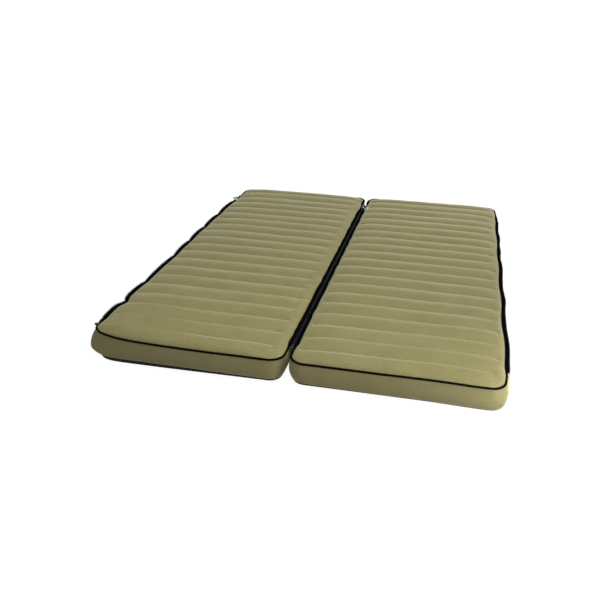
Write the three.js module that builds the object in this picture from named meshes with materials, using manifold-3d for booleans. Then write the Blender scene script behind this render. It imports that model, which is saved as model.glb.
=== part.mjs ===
// Twin air mattress: two single pads in zip-on covers, joined along their top seams by a zip.
// Each pad is an inflated bladder with crosswise chambers inside a sewn cover.
// Millimetres. X runs across the pads, Y from the foot end to the head end, Z up from the floor.

import * as THREE from 'three';
import { mergeVertices } from 'three/addons/utils/BufferGeometryUtils.js';
import Module from 'manifold-3d';

const wasm = await Module();
wasm.setup();

// The pad, measured at the piping of its top seam.
const pad = {
  width: 690,
  length: 1980,
  seamHeight: 86,
  cornerRadius: 50,
  cornerSteps: 5,
};

// The gap between pieces that are sewn, welded or seated together.
const seatGap = 0.35;

// How far a cutting shape runs past what it cuts.
const overrun = 4;

// Sewn cover: the cloth, the crown of its top and how far each wall is blown out.
const cover = {
  cloth: 1.6,
  crown: 17,
  endRise: 70,
  outerBulge: 18,
  facingBulge: 10,
  endBulge: 15,
  domePower: 6,
  endPower: 2.5,
  domeRoot: 0.6,
};

// The crosswise channels that the bladder's chambers press into the top.
const channel = {
  count: 20,
  endLength: 86,
  depth: 5,
  power: 4,
  stationShares: [0, 0.2, 0.5, 0.8],
  columnShares: [-1, -0.93, -0.8, 0, 0.8, 0.93, 1],
  fadeStartShare: 0.83,
  leastStep: 6,
};

// Side wall: height shares from the bottom seam to the top seam, each with its share of the bulge.
const wallShares = [
  [0, 0],
  [0.16, 0.55],
  [0.45, 1],
  [0.78, 0.72],
  [1, 0],
];
const widestLevel = wallShares.findIndex(([, bulge]) => bulge === 1);

// Black base cloth: it turns up at the edge to meet the wall at the bottom seam.
const base = {
  rimHeight: 10,
  rimInset: 8,
  footInset: 26,
  turnInsetShare: 0.35,
  turnHeightShare: 0.36,
};

const piping = {
  radius: 3,
  sides: 8,
};

// Inflatable bladder: skin, its clearances inside the cover, and the baffles between chambers.
const bladder = {
  skin: 1.2,
  inset: 4,
  footInset: 26,
  shoulderInset: 10,
  shoulderHeight: 14,
  waistHeight: 40,
  edgeDrop: 6,
  topClearance: 2.5,
  bulgeShare: 0.55,
  endTaper: 30,
  columnShare: 0.8,
  stationShares: [0, 0.5],
  baffle: 1.2,
  baffleStop: 45,
};

// Filling valve on the head end, with a one-way flap inside and a flip cap outside.
const valve = {
  fromPadCentre: 200,
  boreRadius: 8.5,
  wall: 2.5,
  rim: 5,
  flange: 2.5,
  neck: 3,
  lipWidth: 2,
  lip: 2,
  reach: 5,
  segments: 20,
};

const cap = {
  wall: 1.4,
  skirtClearance: 0.6,
  tabReach: 3,
  tabWidth: 10,
  webWidth: 6,
  web: 1.35,
};

const capHinge = {
  pinRadius: 1,
  clearance: 0.35,
  knuckleWall: 1.05,
  fromFlangeEdge: 3,
  fromFlangeBack: 1.6,
  ear: 2,
  earMargin: 1.2,
};

const flap = {
  overlap: 1.5,
  thickness: 0.8,
  lugWidth: 5,
  lugReach: 1.8,
};

// Zip: tape and coil of each half, measured from the line where the two halves meet.
const zip = {
  centreToPiping: 11,
  tape: 0.8,
  fromFoot: 110,
  fromHead: 140,
  tapeCut: 4,
  coilInner: 0.8,
  coilWidth: 1.7,
  coilHeight: 2.4,
  coilBevelShare: 0.3,
  coilToTape: 0.3,
  tapePastCoil: 42,
  stopLength: 3.4,
  stopHeight: 3.2,
};

// Foot end of the zip: the box that one half carries and the pin of the other half.
const retainer = {
  halfWidth: 4.4,
  halfHeight: 2.3,
  length: 12,
  pinWidth: 1.6,
  pinHeight: 2.4,
  pinAlongTape: 14,
  pinInBox: 8,
  chamfer: 1.2,
};

const slider = {
  length: 16,
  noseHalfWidth: 6.2,
  tailHalfWidth: 5.4,
  shoulderShare: 0.15,
  cornerShare: 0.12,
  plate: 1.4,
  channelHalfHeight: 2,
  flange: 1,
  flangeGap: 0.35,
  post: 1,
  postLength: 3.5,
  postFromCentre: 3,
  bridgeRise: 3.1,
  bridgeWidth: 2,
  bridgeBar: 1.6,
  bridgeLeg: 1.5,
  bridgeSpan: 10,
};

const ribbon = {
  cloth: 1.1,
  width: 9,
  length: 46,
  eyeClearance: 0.3,
  restAngle: 10,
  segments: 12,
};

// Colours and finishes.
const finish = {
  topCloth: { color: 0x9a9168, roughness: 0.9, metalness: 0 },
  wallCloth: { color: 0x8d8459, roughness: 0.9, metalness: 0 },
  baseCloth: { color: 0x1b1b1c, roughness: 0.8, metalness: 0 },
  pipingCloth: { color: 0x17171a, roughness: 0.7, metalness: 0 },
  bladderFilm: { color: 0x5f6a6e, roughness: 0.5, metalness: 0 },
  valvePlastic: { color: 0x202225, roughness: 0.45, metalness: 0 },
  flapRubber: { color: 0x2c2c2e, roughness: 0.7, metalness: 0 },
  tapeCloth: { color: 0x141416, roughness: 0.85, metalness: 0 },
  coilNylon: { color: 0x1d2026, roughness: 0.4, metalness: 0 },
  sliderMetal: { color: 0x1a1b1e, roughness: 0.35, metalness: 0.7 },
  ribbonCloth: { color: 0x8fcaa6, roughness: 0.75, metalness: 0 },
};

// Places worked out from the sizes above.
const padCentre = zip.centreToPiping + pad.width / 2;
const zipCentre = 2 * zip.centreToPiping + pad.width;
const pipingClear = piping.radius + seatGap;
const wallBottom = base.rimHeight + seatGap;
const wallTop = pad.seamHeight - pipingClear;
const barrelRadius = valve.boreRadius + valve.wall;
const flangeRadius = barrelRadius + valve.rim;
const lipRadius = valve.boreRadius - valve.lipWidth;
const flapRadius = lipRadius + flap.overlap;
const valveHeight = THREE.MathUtils.lerp(wallBottom, wallTop, wallShares[widestLevel][0]);
const valveFace = pad.length / 2 + wallOffset(widestLevel, cover.endBulge) + cover.cloth / 2 + seatGap;
const bladderEnd = pad.length / 2 - bladder.inset;
const barrelLength = valveFace - bladderEnd + bladder.skin + valve.reach;
const hingeHeight = flangeRadius + capHinge.fromFlangeEdge;
const bridgeAxis = slider.channelHalfHeight + slider.plate + slider.bridgeRise;
const tapeStart = zip.fromFoot - pad.length / 2;
const tapeEnd = pad.length / 2 - zip.fromHead;
const coilEnd = tapeEnd - zip.tapePastCoil;
const sliderRest = coilEnd - slider.length / 2;
const pinHalfX = [zip.coilInner, zip.coilInner + retainer.pinWidth];

// Makes one closed body with shared corners, and turns its faces outwards.
function closedBody(geometry) {
  geometry.deleteAttribute('normal');
  geometry.deleteAttribute('uv');
  const body = mergeVertices(geometry);
  const corner = [new THREE.Vector3(), new THREE.Vector3(), new THREE.Vector3()];
  const index = body.index.array;
  const places = body.attributes.position;
  let volume = 0;
  for (let i = 0; i < index.length; i += 3) {
    corner.forEach((point, k) => point.fromBufferAttribute(places, index[i + k]));
    volume += corner[0].dot(corner[1].cross(corner[2]));
  }
  if (volume < 0) {
    for (let i = 0; i < index.length; i += 3) {
      [index[i], index[i + 1]] = [index[i + 1], index[i]];
    }
  }
  return body;
}

function toSolid(geometry) {
  const vertProperties = new Float32Array(geometry.attributes.position.array);
  const triVerts = new Uint32Array(geometry.index.array);
  return new wasm.Manifold(new wasm.Mesh({ numProp: 3, vertProperties, triVerts }));
}

function toGeometry(solid) {
  const mesh = solid.getMesh();
  const geometry = new THREE.BufferGeometry();
  geometry.setAttribute('position', new THREE.BufferAttribute(mesh.vertProperties, mesh.numProp));
  geometry.setIndex(new THREE.BufferAttribute(mesh.triVerts, 1));
  return geometry;
}

// Joins rings of equal point counts with side faces; the ends are closed or run round to meet.
function loft(rings, runsRound) {
  const count = rings[0].length;
  const points = rings.flat();
  const faces = [];
  const quad = (a, b, c, d) => faces.push(a, b, c, a, c, d);
  const last = runsRound ? rings.length : rings.length - 1;
  for (let r = 0; r < last; r += 1) {
    const here = r * count;
    const next = ((r + 1) % rings.length) * count;
    for (let i = 0; i < count; i += 1) {
      const j = (i + 1) % count;
      quad(here + i, here + j, next + j, next + i);
    }
  }
  if (!runsRound) {
    const end = (rings.length - 1) * count;
    for (let i = 0; i < count / 2 - 1; i += 1) {
      const far = count - 1 - i;
      quad(far, far - 1, i + 1, i);
      quad(end + i, end + i + 1, end + far - 1, end + far);
    }
  }
  const geometry = new THREE.BufferGeometry();
  geometry.setAttribute('position', new THREE.Float32BufferAttribute(points.flat(), 3));
  geometry.setIndex(faces);
  return closedBody(geometry);
}

function box(low, high) {
  const size = high.map((value, k) => value - low[k]);
  const geometry = new THREE.BoxGeometry(...size);
  geometry.translate(...high.map((value, k) => (value + low[k]) / 2));
  return closedBody(geometry);
}

// Turned part round a line along Y; profile points are [radius, y].
function turned(profile, segments) {
  const points = profile.map(([radius, y]) => new THREE.Vector2(radius, y));
  return closedBody(new THREE.LatheGeometry(points, segments));
}

function rodAlongX(radius, halfLength, y, z, segments) {
  const rod = new THREE.CylinderGeometry(radius, radius, 2 * halfLength, segments);
  rod.rotateZ(Math.PI / 2);
  rod.translate(0, y, z);
  return closedBody(rod);
}

function rodAlongY(radius, low, high, x, z, segments) {
  const rod = new THREE.CylinderGeometry(radius, radius, high - low, segments);
  rod.translate(x, (low + high) / 2, z);
  return closedBody(rod);
}

// Plate of a plan outline, from one height to another.
function plateAlongZ(outline, low, high) {
  const shape = new THREE.Shape(outline.map(([x, y]) => new THREE.Vector2(x, y)));
  const plate = new THREE.ExtrudeGeometry(shape, { depth: high - low, bevelEnabled: false });
  plate.translate(0, 0, low);
  return closedBody(plate);
}

// Plan of the top seam: the four rounded corners, each point with its outward direction.
function seamPlan() {
  const plan = [];
  const centreX = pad.width / 2 - pad.cornerRadius;
  const centreY = pad.length / 2 - pad.cornerRadius;
  for (let corner = 0; corner < 4; corner += 1) {
    const signX = corner === 0 || corner === 3 ? 1 : -1;
    const signY = corner < 2 ? 1 : -1;
    for (let step = 0; step <= pad.cornerSteps; step += 1) {
      const angle = (corner + step / pad.cornerSteps) * (Math.PI / 2);
      const out = [Math.cos(angle), Math.sin(angle)];
      plan.push({
        x: signX * centreX + pad.cornerRadius * out[0],
        y: signY * centreY + pad.cornerRadius * out[1],
        out,
      });
    }
  }
  return plan;
}

// Point of the seam plan moved outwards and set at a height.
function planPoint(point, offset, z) {
  return [point.x + point.out[0] * offset, point.y + point.out[1] * offset, z];
}

// How far a wall is blown out where it faces a direction; facing is the side of the other pad.
function bulgeTowards(out, facing) {
  const side = out[0] * facing > 0 ? cover.facingBulge : cover.outerBulge;
  return side * out[0] ** 2 + cover.endBulge * out[1] ** 2;
}

// Distance of the wall's middle from the seam plan, at one level of the wall.
function wallOffset(level, bulge) {
  const [heightShare, bulgeShare] = wallShares[level];
  return bulge * bulgeShare - base.rimInset * (1 - heightShare);
}

// Lengthwise places of the channel valleys, with both ends of the pad.
function valleyPlaces() {
  const inner = (pad.length - 2 * channel.endLength) / (channel.count - 2);
  const places = [-pad.length / 2];
  for (let i = 0; i < channel.count - 1; i += 1) {
    places.push(channel.endLength - pad.length / 2 + i * inner);
  }
  places.push(pad.length / 2);
  return places;
}

// Rows across the pad: corner rows follow the rounded plan, the rest follow the channels.
function rowStations(inset, shares) {
  const radius = pad.cornerRadius - inset;
  const straightX = pad.width / 2 - pad.cornerRadius;
  const straightY = pad.length / 2 - pad.cornerRadius;
  const corner = [];
  for (let step = 0; step <= pad.cornerSteps; step += 1) {
    const angle = (1 - step / pad.cornerSteps) * (Math.PI / 2);
    corner.push({
      y: -straightY - radius * Math.sin(angle),
      half: straightX + radius * Math.cos(angle),
    });
  }
  const valleys = valleyPlaces();
  const middle = [];
  for (let i = 0; i < channel.count; i += 1) {
    for (const share of shares) {
      const y = THREE.MathUtils.lerp(valleys[i], valleys[i + 1], share);
      if (Math.abs(y) < straightY - channel.leastStep) {
        middle.push({ y, half: pad.width / 2 - inset });
      }
    }
  }
  const mirrored = corner.map(({ y, half }) => ({ y: -y, half })).reverse();
  return [...corner, ...middle, ...mirrored];
}

// Depth share of the valley at a place along the pad; the pad's own ends are no valleys.
function valleyShare(y) {
  const valleys = valleyPlaces();
  let i = 0;
  while (i < channel.count - 1 && y >= valleys[i + 1]) {
    i += 1;
  }
  const share = (y - valleys[i]) / (valleys[i + 1] - valleys[i]);
  const atEnd = (i === 0 && share < 0.5) || (i === channel.count - 1 && share > 0.5);
  return atEnd ? 0 : Math.abs(2 * share - 1) ** channel.power;
}

// Height of the blown-up top above its seam; across is the share of the half width.
function topHeight(across, y) {
  const u = Math.min(Math.abs(across), 1);
  const v = Math.max(Math.abs(y) - (pad.length / 2 - cover.endRise), 0) / cover.endRise;
  const crosswise = (1 - u ** cover.domePower) ** cover.domeRoot;
  const lengthwise = (1 - Math.min(v, 1) ** cover.endPower) ** cover.domeRoot;
  const fade = Math.min((1 - u) / (1 - channel.fadeStartShare), 1);
  return lengthwise * (cover.crown * crosswise - channel.depth * fade * valleyShare(y));
}

function topPanel() {
  const rows = rowStations(pipingClear, channel.stationShares).map(({ y, half }) => {
    const upper = channel.columnShares.map((share) => {
      const z = pad.seamHeight + cover.cloth / 2 + topHeight(share, y);
      return [share * half, y, z];
    });
    const lower = upper.map(([x, , z]) => [x, y, z - cover.cloth]).reverse();
    return [...upper, ...lower];
  });
  return loft(rows, false);
}

function topPiping() {
  const rings = seamPlan().map((point) => {
    const ring = [];
    for (let i = 0; i < piping.sides; i += 1) {
      const angle = (i / piping.sides) * 2 * Math.PI;
      const z = pad.seamHeight + piping.radius * Math.sin(angle);
      ring.push(planPoint(point, piping.radius * Math.cos(angle), z));
    }
    return ring;
  });
  return loft(rings, true);
}

// Side wall all round the pad, with a hole for the valve at the head end.
function border(facing) {
  const rings = seamPlan().map((point) => {
    const bulge = bulgeTowards(point.out, facing);
    const side = (shift) => wallShares.map(([heightShare], level) => {
      const z = THREE.MathUtils.lerp(wallBottom, wallTop, heightShare);
      return planPoint(point, wallOffset(level, bulge) + shift, z);
    });
    return [...side(cover.cloth / 2), ...side(-cover.cloth / 2).reverse()];
  });
  const hole = rodAlongY(
    barrelRadius + seatGap,
    bladderEnd,
    valveFace + overrun,
    facing * -valve.fromPadCentre,
    valveHeight,
    valve.segments,
  );
  return toGeometry(toSolid(loft(rings, true)).subtract(toSolid(hole)));
}

// Base cloth: flat on the floor, turned up all round to the bottom seam.
function basePanel() {
  const turnInset = THREE.MathUtils.lerp(base.rimInset, base.footInset, base.turnInsetShare);
  const turnHeight = base.rimHeight * base.turnHeightShare;
  const half = cover.cloth / 2;
  const levels = [
    [-base.footInset - half, cover.cloth],
    [-turnInset - half, turnHeight + cover.cloth],
    [-base.rimInset - half, base.rimHeight],
    [-base.rimInset + half, base.rimHeight],
    [-turnInset + half, turnHeight],
    [-base.footInset + half, 0],
  ];
  return loft(levels.map(([offset, z]) => seamPlan().map((point) => planPoint(point, offset, z))), false);
}

// Outer shape of the bladder, or with the skin taken off all round, its air space.
function bladderShape(skin, facing) {
  const inset = bladder.inset + skin;
  const rows = rowStations(inset, bladder.stationShares).map(({ y, half }) => {
    const fromEnd = pad.length / 2 - Math.abs(y);
    const open = Math.sqrt(Math.min(fromEnd / bladder.endTaper, 1));
    const waist = bladder.waistHeight;
    const level = (z) => THREE.MathUtils.lerp(waist, z, open);
    const foot = level(cover.cloth + seatGap + skin);
    const shoulder = level(bladder.shoulderHeight + skin);
    const edge = level(pad.seamHeight - bladder.edgeDrop - skin);
    const clear = cover.cloth / 2 + bladder.topClearance + skin;
    const top = level(pad.seamHeight + topHeight(bladder.columnShare, y) - clear);
    const bulge = (side) => open * bladder.bulgeShare * (side === facing ? cover.facingBulge : cover.outerBulge);
    const column = bladder.columnShare * half;
    const sidePoints = (side) => [
      [side * (half - bladder.footInset), y, foot],
      [side * (half - bladder.shoulderInset), y, shoulder],
      [side * (half + bulge(side)), y, waist],
      [side * half, y, edge],
      [side * column, y, top],
    ];
    return [...sidePoints(-1), ...sidePoints(1).reverse()];
  });
  return loft(rows, false);
}

// Bladder with a baffle at each valley; the baffles stop short of the sides so that air goes round.
function airBladder(facing) {
  let air = toSolid(bladderShape(bladder.skin, facing));
  const halfBaffle = pad.width / 2 - bladder.inset - bladder.baffleStop;
  const top = pad.seamHeight + cover.crown;
  for (const y of valleyPlaces().slice(1, -1)) {
    const low = [-halfBaffle, y - bladder.baffle / 2, 0];
    const high = [halfBaffle, y + bladder.baffle / 2, top];
    air = air.subtract(toSolid(box(low, high)));
  }
  const port = rodAlongY(
    barrelRadius + seatGap,
    bladderEnd - overrun,
    bladderEnd + overrun,
    facing * -valve.fromPadCentre,
    valveHeight,
    valve.segments,
  );
  const skin = toSolid(bladderShape(0, facing)).subtract(air);
  return toGeometry(skin.subtract(toSolid(port)));
}

// Valve: flange on the wall, barrel through to the bladder, lip for the flap and ears for the cap.
// Its own axis runs along Y, with zero at the back of the flange.
function valveBody() {
  const mouth = valve.flange + valve.neck;
  const turnedBody = turned([
    [valve.boreRadius, mouth],
    [barrelRadius, mouth],
    [barrelRadius, valve.flange],
    [flangeRadius, valve.flange],
    [flangeRadius, 0],
    [barrelRadius, 0],
    [barrelRadius, -barrelLength],
    [lipRadius, -barrelLength],
    [lipRadius, valve.lip - barrelLength],
    [valve.boreRadius, valve.lip - barrelLength],
    [valve.boreRadius, mouth],
  ], valve.segments);
  let body = toSolid(turnedBody);
  const innerFace = cap.webWidth / 2 + seatGap;
  const outerFace = innerFace + capHinge.ear;
  const earTop = hingeHeight + capHinge.pinRadius + capHinge.earMargin;
  const earFront = capHinge.fromFlangeBack + capHinge.pinRadius + capHinge.earMargin;
  for (const side of [-1, 1]) {
    const faces = [side * innerFace, side * outerFace].sort((a, b) => a - b);
    const earRoot = flangeRadius - valve.flange;
    body = body.add(toSolid(box([faces[0], 0, earRoot], [faces[1], earFront, earTop])));
  }
  const pin = rodAlongX(
    capHinge.pinRadius,
    outerFace,
    capHinge.fromFlangeBack,
    hingeHeight,
    valve.segments / 2,
  );
  return toGeometry(body.add(toSolid(pin)));
}

// Flip cap: a cup over the valve's neck, a thumb tab below and a knuckle round the hinge pin.
function valveCap() {
  const skirtInner = barrelRadius + cap.skirtClearance;
  const skirtOuter = skirtInner + cap.wall;
  const skirtBase = valve.flange + seatGap;
  const inside = valve.flange + valve.neck + seatGap;
  let body = toSolid(turned([
    [0, inside],
    [skirtInner, inside],
    [skirtInner, skirtBase],
    [skirtOuter, skirtBase],
    [skirtOuter, inside + cap.wall],
    [0, inside + cap.wall],
  ], valve.segments));
  const grip = skirtInner + cap.wall / 2;
  const tab = box(
    [-cap.tabWidth / 2, skirtBase, -skirtOuter - cap.tabReach],
    [cap.tabWidth / 2, skirtBase + cap.web, -grip],
  );
  const web = box(
    [-cap.webWidth / 2, skirtBase, grip],
    [cap.webWidth / 2, skirtBase + cap.web, hingeHeight],
  );
  const eye = capHinge.pinRadius + capHinge.clearance;
  const knuckle = rodAlongX(
    eye + capHinge.knuckleWall,
    cap.webWidth / 2,
    capHinge.fromFlangeBack,
    hingeHeight,
    valve.segments,
  );
  const hole = rodAlongX(
    eye,
    cap.webWidth,
    capHinge.fromFlangeBack,
    hingeHeight,
    valve.segments,
  );
  body = body.add(toSolid(tab)).add(toSolid(web)).add(toSolid(knuckle));
  return toGeometry(body.subtract(toSolid(hole)));
}

// One-way flap: a disc over the barrel's inner end, with the lug that it hinges on.
function valveFlap() {
  const front = -barrelLength - seatGap;
  const back = front - flap.thickness;
  const disc = turned([[0, back], [flapRadius, back], [flapRadius, front], [0, front]], valve.segments);
  const lug = box(
    [-flap.lugWidth / 2, back, flapRadius / 2],
    [flap.lugWidth / 2, front, flapRadius + flap.lugReach],
  );
  return toGeometry(toSolid(disc).add(toSolid(lug)));
}

// Zip tape on one side of the zip line, with a slanting cut at the foot end.
function zipTape(side) {
  const inner = zip.coilInner + zip.coilWidth + zip.coilToTape;
  const outer = zip.centreToPiping - pipingClear;
  const plan = [
    [side * inner, tapeStart + zip.tapeCut],
    [side * (inner + zip.tapeCut), tapeStart],
    [side * outer, tapeStart],
    [side * outer, tapeEnd],
    [side * inner, tapeEnd],
  ];
  return plateAlongZ(plan, -zip.tape / 2, zip.tape / 2);
}

// Coil of one half: a strip with bevelled edges along the tape.
function zipCoil(side) {
  const low = tapeStart + retainer.pinAlongTape + seatGap;
  const inner = zip.coilInner;
  const outer = zip.coilInner + zip.coilWidth;
  const half = zip.coilHeight / 2;
  const bevel = zip.coilWidth * zip.coilBevelShare;
  const section = [
    [inner, -half + bevel],
    [inner + bevel, -half],
    [outer, -half],
    [outer, half],
    [inner + bevel, half],
    [inner, half - bevel],
  ];
  const rings = [low, coilEnd].map((y) => section.map(([x, z]) => [side * x, y, z]));
  return loft(rings, false);
}

// Top stop: a small metal crimp past the head end of a coil, where the slider comes to rest.
function zipStop(side) {
  const faces = [zip.coilInner, zip.coilInner + zip.coilWidth].map((x) => side * x).sort((a, b) => a - b);
  const half = zip.stopHeight / 2;
  const low = coilEnd + seatGap;
  return box([faces[0], low, -half], [faces[1], low + zip.stopLength, half]);
}

// Pin at the foot end of one half; it slides into the box of the other half.
function zipPin(side) {
  const faces = pinHalfX.map((x) => side * x).sort((a, b) => a - b);
  const half = retainer.pinHeight / 2;
  return box(
    [faces[0], tapeStart - retainer.pinInBox, -half],
    [faces[1], tapeStart + retainer.pinAlongTape, half],
  );
}

// Box at the foot end: it carries its own half's pin and has a socket for the other one.
function zipBox(side) {
  const end = tapeStart - seatGap;
  const front = end - retainer.length;
  const wide = retainer.halfWidth;
  const cut = retainer.chamfer;
  const plan = [
    [-wide, end],
    [-wide, front + cut],
    [-wide + cut, front],
    [wide - cut, front],
    [wide, front + cut],
    [wide, end],
  ];
  const block = toSolid(plateAlongZ(plan, -retainer.halfHeight, retainer.halfHeight));
  const socketX = [
    -side * (pinHalfX[0] - seatGap),
    -side * (pinHalfX[1] + seatGap),
  ].sort((a, b) => a - b);
  const socketHalf = retainer.pinHeight / 2 + seatGap;
  const socket = box(
    [socketX[0], tapeStart - retainer.pinInBox - seatGap, -socketHalf],
    [socketX[1], end + overrun, socketHalf],
  );
  return toGeometry(block.subtract(toSolid(socket)).add(toSolid(zipPin(side))));
}

// Slider: two plates on a central post, side flanges over the tapes and a bridge for the ribbon.
function zipSlider() {
  const half = slider.length / 2;
  const corner = slider.length * slider.cornerShare;
  const shoulder = slider.length * slider.shoulderShare;
  const plan = [
    [-slider.tailHalfWidth + corner, -half],
    [slider.tailHalfWidth - corner, -half],
    [slider.tailHalfWidth, -half + corner],
    [slider.tailHalfWidth, shoulder - corner],
    [slider.noseHalfWidth, shoulder + corner],
    [slider.noseHalfWidth, half - corner],
    [slider.noseHalfWidth - corner, half],
    [corner - slider.noseHalfWidth, half],
    [-slider.noseHalfWidth, half - corner],
    [-slider.noseHalfWidth, shoulder + corner],
    [-slider.tailHalfWidth, shoulder - corner],
    [-slider.tailHalfWidth, -half + corner],
  ];
  const inside = slider.channelHalfHeight;
  const outside = inside + slider.plate;
  const middle = inside + slider.plate / 2;
  const slot = zip.tape / 2 + slider.flangeGap;
  let body = toSolid(box(
    [-slider.post / 2, slider.postFromCentre - slider.postLength / 2, -middle],
    [slider.post / 2, slider.postFromCentre + slider.postLength / 2, middle],
  ));
  for (const face of [-1, 1]) {
    const plateZ = [face * inside, face * outside].sort((a, b) => a - b);
    const flangeZ = [face * slot, face * middle].sort((a, b) => a - b);
    body = body.add(toSolid(plateAlongZ(plan, ...plateZ)));
    for (const side of [-1, 1]) {
      const edge = slider.tailHalfWidth;
      const flangeX = [side * edge, side * (edge - slider.flange)].sort((a, b) => a - b);
      const low = [flangeX[0], -half + corner, flangeZ[0]];
      const high = [flangeX[1], shoulder - corner, flangeZ[1]];
      body = body.add(toSolid(box(low, high)));
    }
  }
  const bar = slider.bridgeBar / 2;
  const wide = slider.bridgeWidth / 2;
  const span = slider.bridgeSpan / 2;
  const reach = span + slider.bridgeLeg;
  body = body.add(toSolid(box([-wide, -reach, bridgeAxis - bar], [wide, reach, bridgeAxis + bar])));
  for (const side of [-1, 1]) {
    const legY = [side * span, side * reach].sort((a, b) => a - b);
    body = body.add(toSolid(box([-wide, legY[0], middle], [wide, legY[1], bridgeAxis])));
  }
  return toGeometry(body);
}

// Pull ribbon: a loop of tape round the slider's bridge, its two layers sewn into one tail.
// The bridge's line is its own Y axis and the tail points along X.
function pullRibbon() {
  const bridgeCorner = Math.hypot(slider.bridgeWidth, slider.bridgeBar) / 2;
  const eyeRadius = bridgeCorner + ribbon.eyeClearance;
  const outerRadius = eyeRadius + ribbon.cloth;
  const start = Math.asin(ribbon.cloth / outerRadius);
  const shape = new THREE.Shape();
  shape.moveTo(ribbon.length, ribbon.cloth);
  shape.lineTo(outerRadius * Math.cos(start), ribbon.cloth);
  shape.absarc(0, 0, outerRadius, start, 2 * Math.PI - start, false);
  shape.lineTo(ribbon.length, -ribbon.cloth);
  shape.closePath();
  const eye = new THREE.Path();
  eye.absarc(0, 0, eyeRadius, 0, 2 * Math.PI, true);
  shape.holes.push(eye);
  const strip = new THREE.ExtrudeGeometry(shape, {
    depth: ribbon.width,
    bevelEnabled: false,
    curveSegments: ribbon.segments,
  });
  strip.rotateX(Math.PI / 2);
  strip.translate(0, ribbon.width / 2, 0);
  return closedBody(strip);
}

function mesh(name, geometry, look) {
  const piece = new THREE.Mesh(geometry, new THREE.MeshStandardMaterial(look));
  piece.name = name;
  return piece;
}

// One pad; facing is +1 where the other pad lies on its +X side, and -1 on its -X side.
function makePad(name, facing) {
  const group = new THREE.Group();
  group.position.x = -facing * padCentre;
  group.add(mesh(`${name}_top_panel`, topPanel(), finish.topCloth));
  group.add(mesh(`${name}_top_piping`, topPiping(), finish.pipingCloth));
  group.add(mesh(`${name}_border`, border(facing), finish.wallCloth));
  group.add(mesh(`${name}_base_panel`, basePanel(), finish.baseCloth));
  group.add(mesh(`${name}_air_bladder`, airBladder(facing), finish.bladderFilm));
  const port = new THREE.Group();
  port.position.set(facing * -valve.fromPadCentre, valveFace, valveHeight);
  port.add(mesh(`${name}_valve_body`, valveBody(), finish.valvePlastic));
  port.add(mesh(`${name}_valve_flap`, valveFlap(), finish.flapRubber));
  port.add(mesh(`${name}_valve_cap`, valveCap(), finish.valvePlastic));
  group.add(port);
  return group;
}

// Slider with its ribbon at the head end of a zip line.
function makeSlider(name) {
  const group = new THREE.Group();
  group.position.y = sliderRest;
  group.add(mesh(`${name}_slider`, zipSlider(), finish.sliderMetal));
  const pull = mesh(`${name}_ribbon`, pullRibbon(), finish.ribbonCloth);
  pull.position.z = bridgeAxis;
  pull.rotation.y = -THREE.MathUtils.degToRad(ribbon.restAngle);
  group.add(pull);
  return group;
}

// Zip line at a place across the mattress, at seam height.
function zipLine(x, pieces) {
  const group = new THREE.Group();
  group.position.set(x, 0, pad.seamHeight);
  group.add(...pieces);
  return group;
}

const mattress = new THREE.Group();
mattress.name = 'twin_air_mattress';
mattress.add(makePad('left', 1), makePad('right', -1));

mattress.add(zipLine(0, [
  mesh('middle_left_tape', zipTape(-1), finish.tapeCloth),
  mesh('middle_left_coil', zipCoil(-1), finish.coilNylon),
  mesh('middle_left_stop', zipStop(-1), finish.sliderMetal),
  mesh('middle_left_pin', zipPin(-1), finish.coilNylon),
  mesh('middle_right_tape', zipTape(1), finish.tapeCloth),
  mesh('middle_right_coil', zipCoil(1), finish.coilNylon),
  mesh('middle_right_stop', zipStop(1), finish.sliderMetal),
  mesh('middle_box', zipBox(1), finish.coilNylon),
  makeSlider('middle'),
]));

mattress.add(zipLine(-zipCentre, [
  mesh('left_outer_tape', zipTape(1), finish.tapeCloth),
  mesh('left_outer_coil', zipCoil(1), finish.coilNylon),
  mesh('left_outer_stop', zipStop(1), finish.sliderMetal),
  mesh('left_outer_box', zipBox(1), finish.coilNylon),
  makeSlider('left_outer'),
]));

mattress.add(zipLine(zipCentre, [
  mesh('right_outer_tape', zipTape(-1), finish.tapeCloth),
  mesh('right_outer_coil', zipCoil(-1), finish.coilNylon),
  mesh('right_outer_stop', zipStop(-1), finish.sliderMetal),
  mesh('right_outer_pin', zipPin(-1), finish.coilNylon),
]));

export default mattress;
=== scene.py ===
"""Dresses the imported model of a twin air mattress: two single pads joined by a zip."""

import logging
import math
from dataclasses import dataclass, field
from enum import Enum
from typing import Any, Sequence

import bpy
from bpy.types import Material, Node, NodeSocket, NodeTree, Object, World
from mathutils import Matrix, Vector, noise


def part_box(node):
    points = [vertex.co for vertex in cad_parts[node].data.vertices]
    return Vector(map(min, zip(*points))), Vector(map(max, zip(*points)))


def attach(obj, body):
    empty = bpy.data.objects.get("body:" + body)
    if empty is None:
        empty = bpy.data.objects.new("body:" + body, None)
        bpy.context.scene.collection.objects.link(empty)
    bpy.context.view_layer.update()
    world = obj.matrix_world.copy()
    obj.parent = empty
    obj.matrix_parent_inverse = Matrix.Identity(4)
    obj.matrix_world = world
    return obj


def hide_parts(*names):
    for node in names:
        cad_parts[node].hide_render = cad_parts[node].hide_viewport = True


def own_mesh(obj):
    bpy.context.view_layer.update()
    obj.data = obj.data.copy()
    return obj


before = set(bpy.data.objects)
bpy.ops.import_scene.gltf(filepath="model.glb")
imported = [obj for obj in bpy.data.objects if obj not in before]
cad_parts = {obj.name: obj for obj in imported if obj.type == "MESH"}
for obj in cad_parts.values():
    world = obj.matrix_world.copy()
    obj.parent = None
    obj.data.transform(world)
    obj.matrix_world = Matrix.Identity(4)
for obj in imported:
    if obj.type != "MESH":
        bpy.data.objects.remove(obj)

log = logging.getLogger("air_mattress")
MM = 0.001
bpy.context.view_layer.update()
# A wave texture's scale for bands one metre apart.
WAVE = 2 * math.pi / 20
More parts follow.
